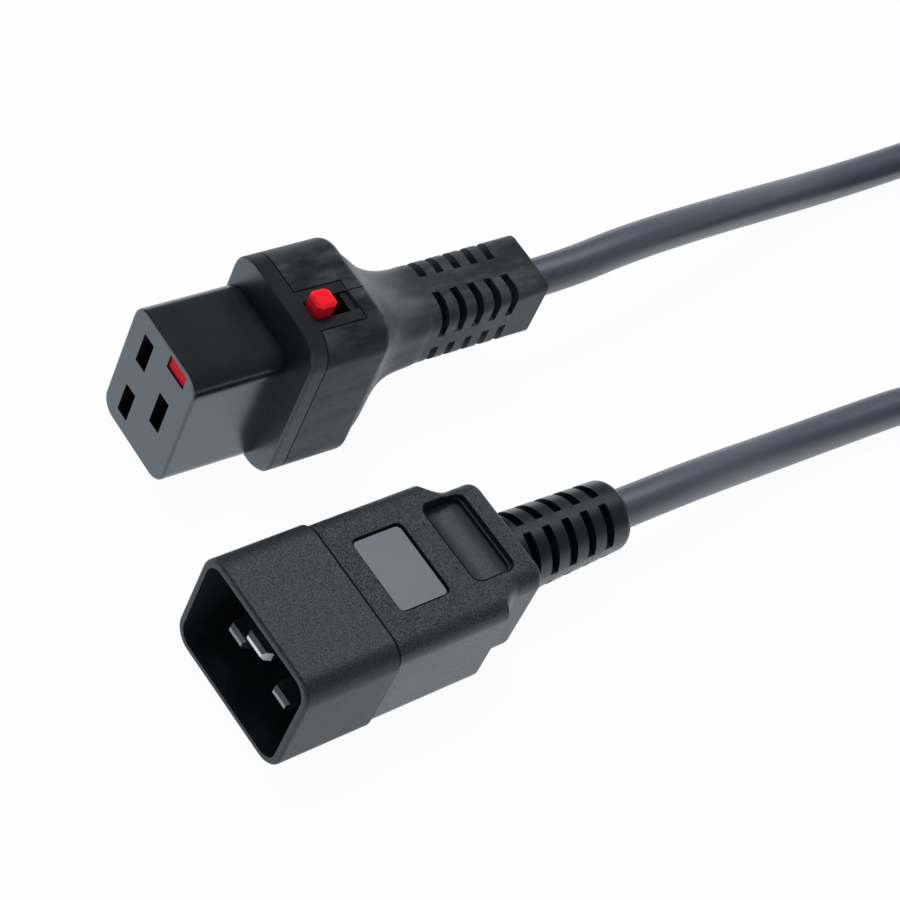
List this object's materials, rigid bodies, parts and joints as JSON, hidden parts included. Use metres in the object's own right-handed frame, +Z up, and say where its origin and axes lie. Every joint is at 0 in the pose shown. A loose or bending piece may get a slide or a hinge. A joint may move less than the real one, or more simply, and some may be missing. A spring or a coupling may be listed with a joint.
{
  "type": "locking power cord",
  "caption": "Rack power cord with a locking connector that grips the earth blade, a red sliding release, a shrouded plug and slotted strain reliefs.",
  "frame": {"origin": "Centre of the bottom of the box round the connector and the plug, on the surface they lie on, without the cord.", "axes": "+X runs from the mouths towards the cord, +Y from the plug to the connector, +Z up."},
  "size_m": [0.2944, 0.1062, 0.0377],
  "materials": {
    "connector_housing": "satin moulded",
    "connector_overmould": "satin moulded",
    "contact_carrier": "moulded",
    "release_slider": "smooth red",
    "lock_pawl": "stamped steel",
    "pawl_pin": "ground steel",
    "pawl_spring": "spring wire",
    "connector_line_contact": "nickel plated",
    "connector_neutral_contact": "nickel plated",
    "connector_earth_contact": "nickel plated",
    "connector_jacket_end": "smooth jacket",
    "connector_line_core": "brown insulation",
    "connector_neutral_core": "blue insulation",
    "connector_earth_core": "green and yellow insulation",
    "plug_shroud": "fine grained",
    "plug_overmould": "fine grained",
    "plug_line_blade": "nickel plated",
    "plug_neutral_blade": "nickel plated",
    "plug_earth_blade": "nickel plated",
    "plug_jacket_end": "smooth jacket",
    "plug_line_core": "brown insulation",
    "plug_neutral_core": "blue insulation",
    "plug_earth_core": "green and yellow insulation",
    "cord_connector_side": "smooth jacket",
    "cord_plug_side": "smooth jacket",
    "cord_coil": "smooth jacket"
  },
  "bodies": {
    "cord_set": {"connector_housing": "connector_housing", "connector_overmould": "connector_overmould", "contact_carrier": "contact_carrier", "pawl_pin": "pawl_pin", "pawl_spring": "pawl_spring", "connector_line_contact": "connector_line_contact", "connector_neutral_contact": "connector_neutral_contact", "connector_earth_contact": "connector_earth_contact", "connector_jacket_end": "connector_jacket_end", "connector_line_core": "connector_line_core", "connector_neutral_core": "connector_neutral_core", "connector_earth_core": "connector_earth_core", "plug_shroud": "plug_shroud", "plug_overmould": "plug_overmould", "plug_line_blade": "plug_line_blade", "plug_neutral_blade": "plug_neutral_blade", "plug_earth_blade": "plug_earth_blade", "plug_jacket_end": "plug_jacket_end", "plug_line_core": "plug_line_core", "plug_neutral_core": "plug_neutral_core", "plug_earth_core": "plug_earth_core", "cord_connector_side": "cord_connector_side", "cord_plug_side": "cord_plug_side", "cord_coil": "cord_coil"},
    "slider": {"release_slider": "release_slider"},
    "pawl": {"lock_pawl": "lock_pawl"}
  },
  "joints": [
    {"name": "release_slide", "type": "slide", "parent": "cord_set", "child": "slider", "axis": [1, 0, 0], "range_m": [0, 0.0034], "stiffness_N_per_m": 500, "springref_m": -0.0015},
    {"name": "pawl_swing", "type": "hinge", "parent": "cord_set", "child": "pawl", "pos_m": [-0.0283, 0.0242, 0.0202], "axis": [0, -1, 0], "range_deg": [0, 6], "deforming": ["pawl_spring"]}
  ],
  "couplings": [
    {"joint": "pawl_swing", "follows": "release_slide", "rad_per_m": 30.7}
  ]
}
